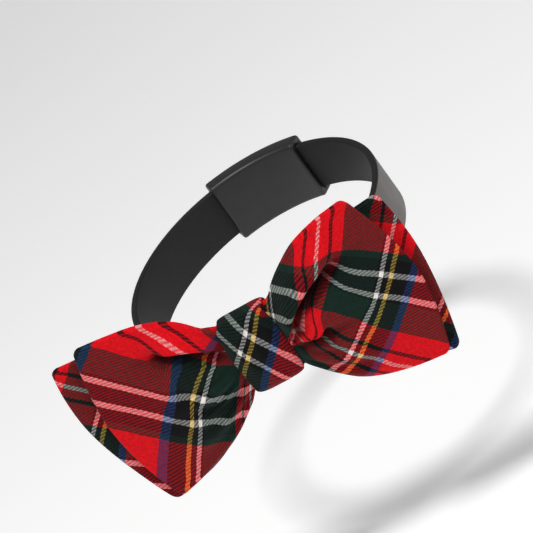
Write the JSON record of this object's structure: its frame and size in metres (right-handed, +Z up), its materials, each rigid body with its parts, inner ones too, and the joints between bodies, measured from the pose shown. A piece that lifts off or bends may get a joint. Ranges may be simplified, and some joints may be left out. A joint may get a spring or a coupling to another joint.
{
  "type": "pet bow tie collar",
  "caption": "Tartan bow of two cloth layers gathered by a knot, held by a loop on a round neck strap that closes in a plain clasp.",
  "frame": {"origin": "centre of the neck loop, half way up the strap", "axes": "+Z up the neck towards the head, -Y out through the front of the bow, +X to the right of someone who looks at the bow"},
  "size_m": [0.1385, 0.1389, 0.075],
  "materials": {
    "tartan_front": "brushed twill in red tartan, cut on the bias",
    "tartan_back": "brushed twill in red tartan, cut on the bias",
    "tartan_knot": "brushed twill in red tartan, its dark green and black ground",
    "strap_cloth": "smooth fine grey cloth, near black on the inner face",
    "elastic": "matte black ribbed elastic",
    "clasp_plastic": "satin black moulding"
  },
  "bodies": {
    "root": {"bow_front": "tartan_front", "bow_back": "tartan_back", "knot_wrap": "tartan_knot", "collar_strap": "strap_cloth", "keeper_loop": "elastic", "clasp": "clasp_plastic"}
  },
  "joints": []
}
